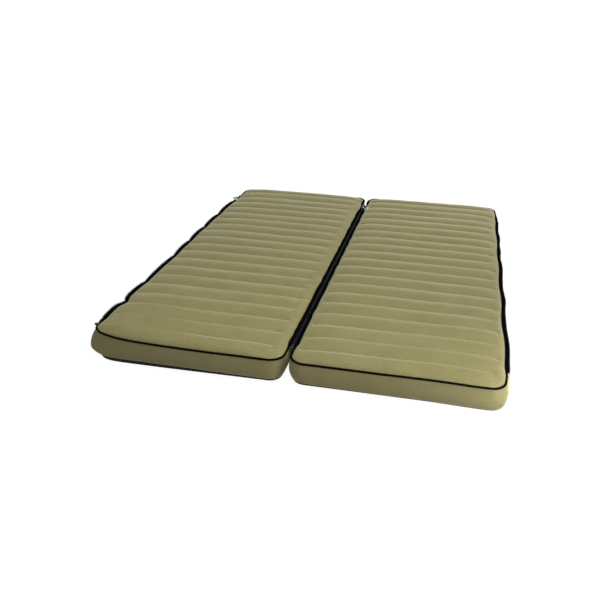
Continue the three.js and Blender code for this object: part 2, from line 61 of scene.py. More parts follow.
# How far along and across its cloth a place lies, in metres.
Run = tuple[float, float]


class Side(Enum):
    """Which pad a piece belongs to, with its sign along X."""

    LEFT = -1
    RIGHT = 1


def linear(code: str) -> tuple[float, float, float, float]:
    """Turns an sRGB hex colour into a linear one.

    Args:
        code: six hex digits.

    Returns:
        Red, green, blue and an alpha of 1.
    """
    parts = [int(code[i:i + 2], 16) / 255 for i in (0, 2, 4)]
    straight = [p / 12.92 if p <= 0.04045 else ((p + 0.055) / 1.055) ** 2.4 for p in parts]
    return (straight[0], straight[1], straight[2], 1.0)


def smooth(value: float, start: float = 0.0, span: float = 1.0) -> float:
    """Eases from 0 at a start to 1 one span further on, clamped at both ends."""
    share = min(max((value - start) / span, 0.0), 1.0)
    return share * share * (3 - 2 * share)


def near(value: float, place: float, reach: float) -> float:
    """Gives 1 at a place, falling like a bell to almost 0 at about twice its reach."""
    return math.exp(-(((value - place) / reach) ** 2))


def ripple(*place: float) -> float:
    """Gives smooth noise between about -1 and 1 at a place."""
    return noise.noise(Vector(place))


def clear_tree(owner: Material | World) -> NodeTree:
    """Gives the emptied node tree of a material or world."""
    owner.use_nodes = True
    owner.node_tree.nodes.clear()
    return owner.node_tree


def feed(node: Node, inputs: dict[str | int, Any]) -> None:
    """Gives some of a node's inputs a plain value or another node's output.

    Args:
        node: the node.
        inputs: for each input, by name or number, what it gets.
    """
    for name, value in inputs.items():
        if isinstance(value, NodeSocket):
            node.id_data.links.new(value, node.inputs[name])
        else:
            node.inputs[name].default_value = value


def add_node(tree: NodeTree, kind: str, inputs: dict[str | int, Any] | None = None, **settings: Any) -> Node:
    """Adds one shader node.

    Args:
        tree: the node tree that it goes into.
        kind: the node's type, without the "ShaderNode" before it.
        inputs: for each input, an output to link or a plain value.
        settings: values of the node's own properties.

    Returns:
        The new node.
    """
    node = tree.nodes.new(f"ShaderNode{kind}")
    for name, value in settings.items():
        setattr(node, name, value)
    feed(node, inputs or {})
    return node


@dataclass(frozen=True)
class Finish:
    """A material, with what every finish of the mattress shares."""

    name: str
    colour: str
    roughness: float

    def make(self) -> Material:
        """Makes the material with its shader.

        Returns:
            The material.
        """
        material = bpy.data.materials.new(self.name)
        tree = clear_tree(material)
        shader = add_node(tree, "BsdfPrincipled", {
            "Base Color": linear(self.colour), "Roughness": self.roughness})
        add_node(tree, "OutputMaterial", {"Surface": shader.outputs["BSDF"]})
        material.diffuse_color = linear(self.colour)
        feed(shader, self.surface(tree))
        return material

    def surface(self, tree: NodeTree) -> dict[str, Any]:
        """Gives what the shader gets beyond its colour and roughness: here nothing."""
        return {}


@dataclass(frozen=True)
class WovenPolyester(Finish):
    """Brushed plain-weave polyester.

    The cloth is matt with a soft brushed pile, so its colour shifts a little between threads and over
    each hand's breadth. Its edges catch a faint sheen, and slopes that turn away from the eye get a painted
    sheen: their colour is mixed paler.
    """

    light: str = "ffffff"
    dark: str = "000000"
    painted_sheen_colour: str = "d8d3b6"
    fuzz: str = "d9d4b4"
    # The real threads are 0.35 mm apart. They are drawn 1.4 mm apart, to show in a close view.
    thread: float = 1.4 * MM
    # Thick places in the thread, which the photograph shows as a fine grain, drawn out along it.
    slub: float = 4.0 * MM
    drawn_out: tuple[float, float] = (0.45, 1.5)
    mottle: float = 90 * MM
    # How much the slow mottle counts beside the two yarns.
    blotch: float = 0.35
    relief: float = 0.35 * MM
    sheen: float = 0.2
    # Painted sheen: a slope that turns away from the eye has its colour mixed towards a pale tone, painted in
    # for the sheen of the brushed pile.
    painted_sheen: float = 0.5
    painted_sheen_from: float = 0.56
    painted_sheen_to: float = 0.98
    contrast: float = 0.3

    def surface(self, tree: NodeTree) -> dict[str, Any]:
        """Makes the cloth, with its weave laid along the piece's UV map in metres.

        Args:
            tree: the material's node tree.

        Returns:
            What the shader's inputs get.
        """
        place = add_node(tree, "TexCoord").outputs["UV"]
        waves = [add_node(tree, "TexWave", {
            "Vector": place, "Scale": WAVE / self.thread, "Distortion": 0.6, "Detail": 1.0,
            "Detail Scale": 2.0}, bands_direction=axis).outputs["Fac"] for axis in "XY"]
        weave = add_node(tree, "Math", {0: waves[0], 1: waves[1]}, operation="MAXIMUM")
        yarns = []
        for scale in (self.drawn_out, self.drawn_out[::-1]):
            stretched = add_node(tree, "Mapping", {"Vector": place, "Scale": (*scale, 1.0)})
            yarns.append(add_node(tree, "TexNoise", {
                "Vector": stretched.outputs["Vector"], "Scale": 1 / self.slub, "Detail": 2.0,
                "Roughness": 0.6}).outputs["Fac"])
        slub = add_node(tree, "Math", {0: yarns[0], 1: yarns[1]}, operation="ADD")
        mottle = add_node(tree, "TexNoise", {
            "Vector": place, "Scale": 1 / self.mottle, "Detail": 2.0, "Roughness": 0.5})
        mixed = add_node(tree, "Math", {
            0: mottle.outputs["Fac"], 1: self.blotch, 2: slub.outputs["Value"]}, operation="MULTIPLY_ADD")
        middle = 1 + self.blotch / 2
        spread = add_node(tree, "MapRange", {
            "Value": mixed.outputs["Value"], "From Min": middle - self.contrast,
            "From Max": middle + self.contrast})
        tone = add_node(tree, "Mix", {
            0: spread.outputs["Result"], 6: linear(self.dark), 7: linear(self.light)}, data_type="RGBA")
        # Painted sheen: the colour turns paler where the surface faces away from the eye.
        facing = add_node(tree, "LayerWeight", {"Blend": 0.5})
        away = add_node(tree, "MapRange", {
            "Value": facing.outputs["Facing"], "From Min": self.painted_sheen_from, "From Max": self.painted_sheen_to,
            "To Max": self.painted_sheen}, interpolation_type="SMOOTHSTEP")
        tone = add_node(tree, "Mix", {
            0: away.outputs["Result"], 6: tone.outputs[2], 7: linear(self.painted_sheen_colour)}, data_type="RGBA")
        height = add_node(tree, "Math", {
            0: slub.outputs["Value"], 1: 0.9, 2: weave.outputs["Value"]}, operation="MULTIPLY_ADD")
        bump = add_node(tree, "Bump", {
            "Height": height.outputs["Value"], "Strength": 0.6, "Distance": self.relief})
        return {
            "Base Color": tone.outputs[2], "Normal": bump.outputs["Normal"], "Specular IOR Level": 0.25,
            "Sheen Weight": self.sheen, "Sheen Roughness": 0.25, "Sheen Tint": linear(self.fuzz)}


@dataclass(frozen=True)
class WovenTape(Finish):
    """Herringbone zip tape or bias binding in black polyester: dull, ribbed along its length."""

    light: str = "1d1f24"
    # Ribs 0.9 mm apart on the real tape.
    rib: float = 0.9 * MM
    slant: float = math.radians(35)
    relief: float = 0.25 * MM

    def surface(self, tree: NodeTree) -> dict[str, Any]:
        """Makes the tape, ribbed across its UV map.

        Args:
            tree: the material's node tree.

        Returns:
            What the shader's inputs get.
        """
        place = add_node(tree, "TexCoord").outputs["UV"]
        turned = add_node(tree, "Mapping", {"Vector": place, "Rotation": (0, 0, self.slant)})
        rib = add_node(tree, "TexWave", {
            "Vector": turned.outputs["Vector"], "Scale": WAVE / self.rib, "Distortion": 0.4})
        fuzz = add_node(tree, "TexNoise", {"Vector": place, "Scale": 260.0, "Detail": 2.0})
        tone = add_node(tree, "Mix", {
            0: fuzz.outputs["Fac"], 6: linear(self.colour), 7: linear(self.light)}, data_type="RGBA")
        bump = add_node(tree, "Bump", {
            "Height": rib.outputs["Fac"], "Strength": 0.5, "Distance": self.relief})
        return {
            "Base Color": tone.outputs[2], "Normal": bump.outputs["Normal"], "Specular IOR Level": 0.0}


@dataclass(frozen=True)
class Grosgrain(Finish):
    """Grosgrain ribbon: pale mint, with cross ribs painted paler as a painted highlight where they catch the
    light.
    """

    # Paler colour of the ribs: a painted highlight.
    light: str = "d6f2e1"
    rib: float = 1.3 * MM
    relief: float = 0.3 * MM

    def surface(self, tree: NodeTree) -> dict[str, Any]:
        """Makes the ribbon, ribbed along its UV map.

        Args:
            tree: the material's node tree.

        Returns:
            What the shader's inputs get.
        """
        place = add_node(tree, "TexCoord").outputs["UV"]
        rib = add_node(tree, "TexWave", {
            "Vector": place, "Scale": WAVE / self.rib, "Distortion": 0.3}, bands_direction="X")
        tone = add_node(tree, "Mix", {
            0: rib.outputs["Fac"], 6: linear(self.colour), 7: linear(self.light)}, data_type="RGBA")
        bump = add_node(tree, "Bump", {
            "Height": rib.outputs["Fac"], "Strength": 0.7, "Distance": self.relief})
        return {"Base Color": tone.outputs[2], "Normal": bump.outputs["Normal"], "Sheen Weight": 0.2}


@dataclass(frozen=True)
class Moulded(Finish):
    """Moulded or cast piece: an even colour with the fine grain of its mould."""

    # Spark-eroded mould grain is 0.1 mm. It is drawn at 0.5 mm to show in a close view.
    grain: float = 0.5 * MM
    relief: float = 0.05 * MM
    metallic: float = 0.0
    coat: float = 0.0
    gloss: float = 0.5
    shift: float = 0.12

    def surface(self, tree: NodeTree) -> dict[str, Any]:
        """Makes the moulded surface on the node's own coordinates.

        Args:
            tree: the material's node tree.

        Returns:
            What the shader's inputs get.
        """
        place = add_node(tree, "TexCoord").outputs["Object"]
        grain, cloud = [
            add_node(tree, "TexNoise", {"Vector": place, "Scale": scale, "Detail": 2.0}).outputs["Fac"]
            for scale in (1 / self.grain, 90.0)]
        rough = add_node(tree, "MapRange", {
            "Value": cloud, "To Min": self.roughness - self.shift / 2,
            "To Max": self.roughness + self.shift / 2})
        bump = add_node(tree, "Bump", {"Height": grain, "Strength": 0.5, "Distance": self.relief})
        return {
            "Roughness": rough.outputs["Result"], "Normal": bump.outputs["Normal"],
            "Metallic": self.metallic, "Specular IOR Level": self.gloss, "Coat Weight": self.coat,
            "Coat Roughness": 0.15}


@dataclass
class Wardrobe:
    """Every finish of the mattress, made once and shared by its pieces."""

    # Olive outer cloth, brushed polyester: matt and a little uneven.
    top: WovenPolyester = WovenPolyester("top_cloth", "8f8858", 0.9, light="9f9868", dark="80794b")
    # The wall cloth is the top's cloth in a darker colour: painted shade for the side walls, which the light
    # reaches less.
    wall: WovenPolyester = WovenPolyester("wall_cloth", "7e774f", 0.9, light="88815a", dark="736c47",
                                          contrast=0.5)
    # Coated oxford cloth under the pad: black with a slight shine on its yarns.
    base: WovenPolyester = WovenPolyester("base_cloth", "101011", 0.8, light="19191c", dark="0a0a0b",
                                          thread=2.0 * MM, sheen=0.05)
    piping: WovenTape = WovenTape("piping_cloth", "060607", 0.75, light="0e0f12")
    tape: WovenTape = WovenTape("tape_cloth", "07080a", 0.85, light="101115")
    # Nylon monofilament: smooth, so each turn of the coil throws a small cold highlight.
    coil: Moulded = Moulded("coil_nylon", "0c0d12", 0.4, relief=0.01 * MM, gloss=0.25)
    # Zinc casting under black lacquer: a hard, rounded gloss.
    slider: Moulded = Moulded("slider_metal", "121315", 0.34, relief=0.02 * MM, coat=0.5)
    valve: Moulded = Moulded("valve_plastic", "202327", 0.46)
    rubber: Moulded = Moulded("flap_rubber", "2b2b2e", 0.62, relief=0.03 * MM)
    # Coated nylon film of the inner bladder: grey, with a low even shine.
    film: Moulded = Moulded("bladder_film", "596468", 0.4, grain=2.0 * MM, relief=0.08 * MM)
    ribbon: Grosgrain = Grosgrain("ribbon_cloth", "96dcb8", 0.65)
    made: dict[str, Material] = field(default_factory=dict)

    def of(self, finish: Finish) -> Material:
        """Gives the material of a finish, and makes it the first time."""
        if finish.name not in self.made:
            self.made[finish.name] = finish.make()
        return self.made[finish.name]

    def dress_node(self, node: str, finish: Finish) -> None:
        """Puts a finish on a node that stays as it is.

        Args:
            node: the node's name.
            finish: its finish.
        """
        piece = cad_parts[node]
        for holder in piece.material_slots:
            holder.material = self.of(finish)
        if not piece.material_slots:
            piece.data.materials.append(self.of(finish))
        log.info("%s keeps its shape, in %s", node, finish.name)


def only(piece: Object) -> None:
    """Makes one object the only selected one, and the active one."""
    bpy.ops.object.select_all(action="DESELECT")
    piece.select_set(True)
    bpy.context.view_layer.objects.active = piece


def apply(piece: Object, kind: str, name: str, settings: dict[str, Any]) -> None:
    """Adds one modifier to a piece and applies it.

    Args:
        piece: the object.
        kind: the modifier's type.
        name: what the modifier does.
        settings: its values.
    """
    only(piece)
    modifier = piece.modifiers.new(name, kind)
    for key, value in settings.items():
        setattr(modifier, key, value)
    bpy.ops.object.modifier_apply(modifier=modifier.name)


class Sewn:
    """A group of soft pieces on one body, each named after the group."""

    name: str
    body: str
    wardrobe: Wardrobe

    def finish(self, piece: Object, node: str, slot: str, look: Finish,
               fill: float | None = None) -> None:
        """Dresses a piece and puts it in its node's place.

        Args:
            piece: the finished mesh.
            node: the node that it stands for, without the group's name.
            slot: the material slot that it would take; not used.
            look: its finish.
            fill: how tight it is, where it is a padded piece; not used.
        """
        piece.data.materials.clear()
        piece.data.materials.append(self.wardrobe.of(look))
        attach(piece, self.body)
        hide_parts(f"{self.name}_{node}")
        log.info("%s: %d faces", piece.name, len(piece.data.polygons))


def lay_cloth(name: str, rows: Sequence[Sequence[tuple[Vector, Run]]], closed: bool = False) -> Object:
    """Lays a sheet of cloth through rows of places.

    Args:
        name: the piece's name.
        rows: places with their runs, facing out where rows run to the left of their points.
        closed: whether each row runs round and ends again at its own start.

    Returns:
        The sheet, shaded smooth, with a UV map in metres.
    """
    steps = len(rows[0]) - 1
    count = steps if closed else steps + 1
    places = [place for row in rows for place, _ in row[:count]]
    faces, corners = [], []
    for i in range(len(rows) - 1):
        for j in range(steps):
            k = (j + 1) % count
            faces.append((i * count + j, i * count + k, (i + 1) * count + k, (i + 1) * count + j))
            corners += [rows[i][j][1], rows[i][j + 1][1], rows[i + 1][j + 1][1], rows[i + 1][j][1]]
    mesh = bpy.data.meshes.new(name)
    mesh.from_pydata(places, [], faces)
    layer = mesh.uv_layers.new(name="Cloth")
    for loop, place in zip(layer.data, corners):
        loop.uv = place
    mesh.shade_smooth()
    piece = bpy.data.objects.new(name, mesh)
    bpy.context.collection.objects.link(piece)
    return piece


@dataclass(frozen=True)
class PadShape:
    """Sizes of one pad, in metres, measured at the piping of its top seam."""

    centre: float = 356 * MM
    half_width: float = 345 * MM
    half_length: float = 990 * MM
    corner: float = 50 * MM
    seam: float = 86 * MM
    crown: float = 17 * MM
    end_rise: float = 70 * MM
    channels: int = 20
    end_channel: float = 86 * MM
    depth: float = 4.6 * MM
    # How fast the cloth rises beside a weld: the crests are wide and nearly flat.
    valley_reach: float = 13 * MM
    pipe: float = 3.6 * MM
    cloth: float = 1.6 * MM
    outer_bulge: float = 18 * MM
    facing_bulge: float = 10 * MM
    end_bulge: float = 15 * MM
    rim_inset: float = 8 * MM
    rim: float = 10 * MM

    @property
    def pitch(self) -> float:
        """The distance from one valley to the next."""
        return 2 * (self.half_length - self.end_channel) / (self.channels - 2)

    def valleys(self) -> list[float]:
        """Gives the places of the valleys between channels, along the pad."""
        first = self.end_channel - self.half_length
        return [first + self.pitch * i for i in range(self.channels - 1)]

    def reach(self, along: float) -> float:
        """Measures the pad inside its seam.

        Args:
            along: a place along the pad.

        Returns:
            Half the width there.
        """
        past = abs(along) - (self.half_length - self.corner)
        if past <= 0:
            return self.half_width
        return self.half_width - self.corner + math.sqrt(max(self.corner ** 2 - past ** 2, 0))

    def valley_share(self, along: float) -> float:
        """Says how deep in a valley a place lies.

        Args:
            along: a place along the pad.

        Returns:
            1 in a valley and 0 on a crest.
        """
        gap = min(abs(along - place) for place in self.valleys())
        flat = math.exp(-self.pitch / 2 / self.valley_reach)
        return max(math.exp(-gap / self.valley_reach) - flat, 0) / (1 - flat)

    def dome(self, across: float, along: float) -> float:
        """Gives the height of the crown over the seam, without its channels.

        Args:
            across: share of the half width, from -1 to 1.
            along: place along the pad.

        Returns:
            The height in metres.
        """
        past = max(abs(along) - (self.half_length - self.end_rise), 0) / self.end_rise
        lengthwise = max(1 - min(past, 1) ** 2.5, 0) ** 0.6
        return lengthwise * self.crown * max(1 - abs(across) ** 6, 0) ** 0.6

    def outline(self, step: float, turn_steps: int = 8) -> list[tuple[Vector, Vector, float]]:
        """Walks once round the seam.

        Args:
            step: the distance between places on the straight sides.
            turn_steps: how many steps each corner takes.

        Returns:
            For each place its position about the pad's centre, the direction out of the pad and
            the distance walked. The last one stands again at the start.
        """
        stops: list[tuple[Vector, Vector, float]] = []
        run = 0.0
        for quarter in range(4):
            angle = quarter * math.pi / 2
            out = Vector((round(math.cos(angle)), round(math.sin(angle))))
            way = Vector((-out.y, out.x))
            ahead, aside = (self.half_width, self.half_length) if quarter % 2 == 0 else (
                self.half_length, self.half_width)
            straight = 2 * (aside - self.corner)
            count = round(straight / step)
            for i in range(count):
                stops.append((out * ahead + way * (straight * (i / count - 0.5)), out, run))
                run += straight / count
            middle = out * (ahead - self.corner) + way * (aside - self.corner)
            for i in range(turn_steps):
                turn = angle + math.pi / 2 * i / turn_steps
                away = Vector((math.cos(turn), math.sin(turn)))
                stops.append((middle + away * self.corner, away, run))
                run += self.corner * math.pi / 2 / turn_steps
        stops.append((stops[0][0], stops[0][1], run))
        return stops


@dataclass(frozen=True)
class Wander:
    """The slow unevenness of sewn and inflated cloth, the same for every soft piece at a place.

    Pieces that meet at a seam move together, and places where something hard sits keep still.
    """

    shape: PadShape
    seed: float = 3.7
    sway: float = 2.6 * MM
    # Where the outer seams, the tapes beside them and the end seams run.
    side_seam: float = 0.701
    tape_line: float = 0.703
    end_seam: float = 0.99
    tape_width: float = 0.011
    # Where the sliders, the foot ends of the zips and the valves are.
    slider: float = 0.80
    zip_foot: float = -0.90
    valve: tuple[float, float] = (0.556, 1.0)
    # Where the left pad's outer zip tape is pulled in, as the photograph shows.
    pinches: tuple[float, ...] = (0.72, 0.47, 0.25, 0.04, -0.17, -0.48, -0.68, -0.84)
    arch_up: float = 2.5 * MM
    arch_out: float = 2.5 * MM
    # How the right outer seam snakes.
    snake: float = 2.2 * MM
    # How much further the outer tapes stand out than they would lying flat, and which way.
    flare: float = 7.0 * MM
    left_way: tuple[float, float, float] = (-0.7, 0, 1.0)
    right_way: tuple[float, float, float] = (1.0, 0, 0.3)
    # Where the left side is drawn in: how far, over what breadth, about where and for how long.
    drawn_in: tuple[tuple[float, float, float, float], ...] = (
        (9.5 * MM, 0.06, -0.38, 0.42), (11 * MM, 0.03, -0.69, 0.03))
    # How far the middle band's edges stand apart more than they should: at least, with slow
    # pulls and with quick ones.
    gape: tuple[float, float, float] = (2.7, 4.5, 2.2)
    # How far the left front corner hangs back at the seam, and how the tape beside it spreads.
    hang_back: float = 50 * MM
    spread: float = 3 * MM
    # How far the outer corners are tucked in at the floor, and up to what height.
    tuck_in: float = 24 * MM
    tuck_height: float = 34 * MM
    # Centre of the right front corner's arc, and how far its side and front lean below the zip.
    arc_centre: tuple[float, float] = (0.651, -0.937)
    lean_in: float = 18 * MM
    lean_foot: float = 4 * MM
    lean_front: float = 6 * MM
    # How the front walls lie over the base: the left one has ridden up and the right one hangs.
    ridden_up: float = 3.0 * MM
    hung_down: float = 3.5 * MM
    base_out: float = 10 * MM

    def still(self, place: Vector) -> float:
        """Says how free the cloth is to wander.

        Args:
            place: a place on the even shape.

        Returns:
            0 where a slider, box or valve sits, and 1 away from them.
        """
        free = smooth(abs(place.y - self.slider), 0.03, 0.05)
        if abs(place.x) < 0.05 or abs(place.x) > 0.66:
            free *= smooth(place.y, self.zip_foot, 0.05)
        valve = Vector((abs(place.x) - self.valve[0], place.y - self.valve[1])).length
        return free * smooth(valve, 0.04, 0.06)

    def arch(self, along: float) -> float:
        """Says how far the outer tape arches out between its pinches.

        Args:
            along: a place along the pad.

        Returns:
            0 at each pinch and 1 half-way between two.
        """
        for high, low in zip(self.pinches, self.pinches[1:]):
            if low <= along <= high:
                return math.sin(math.pi * (along - low) / (high - low)) ** 0.55
        return 0.0

    def edges(self, place: Vector) -> Vector:
        """Says how the long edges wander: loose outer tapes and a middle band of uneven width.

        Args:
            place: a place on the even shape.

        Returns:
            The move, in metres.
        """
        x, y = place.x, place.y
        arch = self.arch(y)
        move = Vector((-self.arch_out, 0, self.arch_up)) * near(x, -self.tape_line, 0.035) * arch
        move.x += self.snake * near(x, self.tape_line, 0.03) * math.sin(y * 17 + 0.6)
        past = min(max((abs(x) - self.side_seam) / self.tape_width, 0), 1.4)
        if x < 0:
            move += Vector(self.left_way) * self.flare * past * (0.35 + 0.65 * arch)
            for most, broad, along, long in self.drawn_in:
                move.x += most * near(x, -self.tape_line, broad) * near(y, along, long)
        else:
            slack = 0.45 - 0.2 * smooth(y, 0, 0.5) + 0.5 * ripple(y * 9, 2.0, 5.0)
            move += Vector(self.right_way) * self.flare * past * slack
        band = smooth(abs(x), 0, self.tape_width) * (1 - smooth(abs(x), 0.014, 0.06))
        least, slow, quick = self.gape
        apart = least + slow * abs(ripple(y * 6.5, math.copysign(3, x), 7.0))
        apart += quick * ripple(y * 19, math.copysign(5, x), 7.0)
        move.x += math.copysign(1, x) * band * apart * MM
        return move

    def hang(self, place: Vector) -> Vector:
        """Says how the left front corner's arc hangs back. The zip's end beside it stays at its box.

        Args:
            place: a place on the even shape.

        Returns:
            The move, in metres.
        """
        tape = smooth(-place.x, 0.7045, 0.003) * smooth(place.z, 0.076, 0.005)
        zip_end = tape * smooth(place.y, -0.93, 0.02)
        aside = (place.x + self.side_seam) / 0.08
        back = near(place.y, -1.0, 0.12) * smooth(-place.x, 0, 0.2) / (1 + aside * aside)
        back *= 1 - zip_end
        height = smooth(place.z, 0, self.shape.seam)
        return Vector((-self.spread * tape * near(place.y, -0.84, 0.03), self.hang_back * height * back, 0))

    def tuck(self, place: Vector) -> Vector:
        """Says how an outer corner is tucked in at the floor.

        Args:
            place: a place on the even shape.

        Returns:
            The move, in metres.
        """
        gap = Vector((abs(place.x) - self.side_seam, abs(place.y) - self.end_seam)).length
        far = self.tuck_in * near(gap, 0, 0.06) * max(1 - place.z / self.tuck_height, 0) ** 1.5
        return Vector((-math.copysign(far, place.x), -math.copysign(far, place.y), 0))

    def square(self, place: Vector, share: float) -> Vector:
        """Says how the right front corner stands squarer on the floor, its side leaning in.

        Args:
            place: a place on the even shape.
            share: how far it lies in the right front quarter.

        Returns:
            The move, in metres.
        """
        move = Vector()
        across, along = place.x - self.arc_centre[0], self.arc_centre[1] - place.y
        if across > 0 and along > 0:
            out = math.hypot(across, along) / max(across, along) - 1
            out *= 1 - smooth(place.z, 14 * MM, 70 * MM)
            move += Vector((across, -along, 0)) * out * (0.7 + 0.3 * smooth(place.z, 0, 9 * MM))
        lean = self.lean_in * (1 - smooth(place.z, 8 * MM, 52 * MM))
        lean += self.lean_foot * smooth(-place.y, 0.9, 0.05)
        move.x -= lean * share * smooth(place.x, 0.62, 0.08) * smooth(-place.y, 0.84, 0.08)
        move.y -= self.lean_front * share * smooth(place.x, 0.45, 0.18) * near(place.y, -1.0, 0.12)
        return move

    def rims(self, place: Vector) -> Vector:
        """Says how the front walls lie over the base.

        Args:
            place: a place on the even shape.

        Returns:
            The move, in metres.
        """
        up = smooth(place.z, 0, 9 * MM)
        rim = up * (1 - smooth(place.z, 10 * MM, 50 * MM))
        left = near(place.y, -1.0, 0.05) * smooth(-place.x, 0, 0.5)
        right = near(place.y, -1.0, 0.08) * smooth(place.x, 0, 0.3) * smooth(place.z, 2 * MM, 7 * MM)
        rise = self.ridden_up * left - self.hung_down * right
        return Vector((0, -self.base_out * left * (1 - up), rise * rim))

    def shift(self, place: Vector) -> Vector:
        """Says how far the cloth at a place lies from its even shape.

        Args:
            place: a place on the even shape.

        Returns:
            The move, in metres.
        """
        free = self.still(place) * smooth(place.z, 0, self.shape.seam)
        middle = 0.35 + 0.65 * smooth(abs(place.x), 0.02, 0.06)
        slow = [ripple(place.x * 3.6, place.y * 3.6, self.seed + 11 * i) for i in range(3)]
        quick = ripple(place.x * 14, place.y * 14, self.seed + 50)
        sway = Vector((slow[0], slow[1], slow[2] * 0.8 + quick * 0.25)) * self.sway * middle
        share = smooth(place.x, 0, 0.2) * smooth(-place.y, 0, 0.2)
        corner = self.hang(place) + self.tuck(place) * (1 - share) + self.square(place, share)
        return (sway + self.edges(place)) * free + corner + self.rims(place)

    def bend(self, piece: Object) -> None:
        """Moves every corner of a piece by its shift."""
        for vertex in piece.data.vertices:
            vertex.co += self.shift(vertex.co)


@dataclass(frozen=True)
class Traits:
    """What the two pads don't share, as the photograph shows them."""

    # How deep the valleys are, and how much of that the last ones at the foot lose outwards.
    firmness: float
    faint: float
    # How far rows bend along the pad near its outer side.
    hook: float
    # How much shorter the welds are beside the middle zip, and every other one at the outer side.
    short_facing: float
    short_outer: float
    # How far inside the seam the dimples beside the middle zip lie.
    dimple: float
    # Tucks beside the middle zip: where, how long across and how deep.
    tucks: tuple[tuple[float, float, float, float], ...] = ()


TRAITS = {
    Side.LEFT: Traits(
        firmness=0.86, faint=0.9, hook=5 * MM, short_facing=0.09, short_outer=0.0, dimple=48 * MM,
        tucks=((-0.064, -0.586, 16 * MM, 5 * MM), (-0.068, -0.793, 20 * MM, 4 * MM),
               (-0.036, -0.495, 30 * MM, 4 * MM), (-0.045, -0.354, 30 * MM, 3.5 * MM),
               (-0.03, -0.67, 26 * MM, 4 * MM))),
    Side.RIGHT: Traits(
        firmness=1.1, faint=0.35, hook=13 * MM, short_facing=0.0, short_outer=0.05, dimple=26 * MM)}


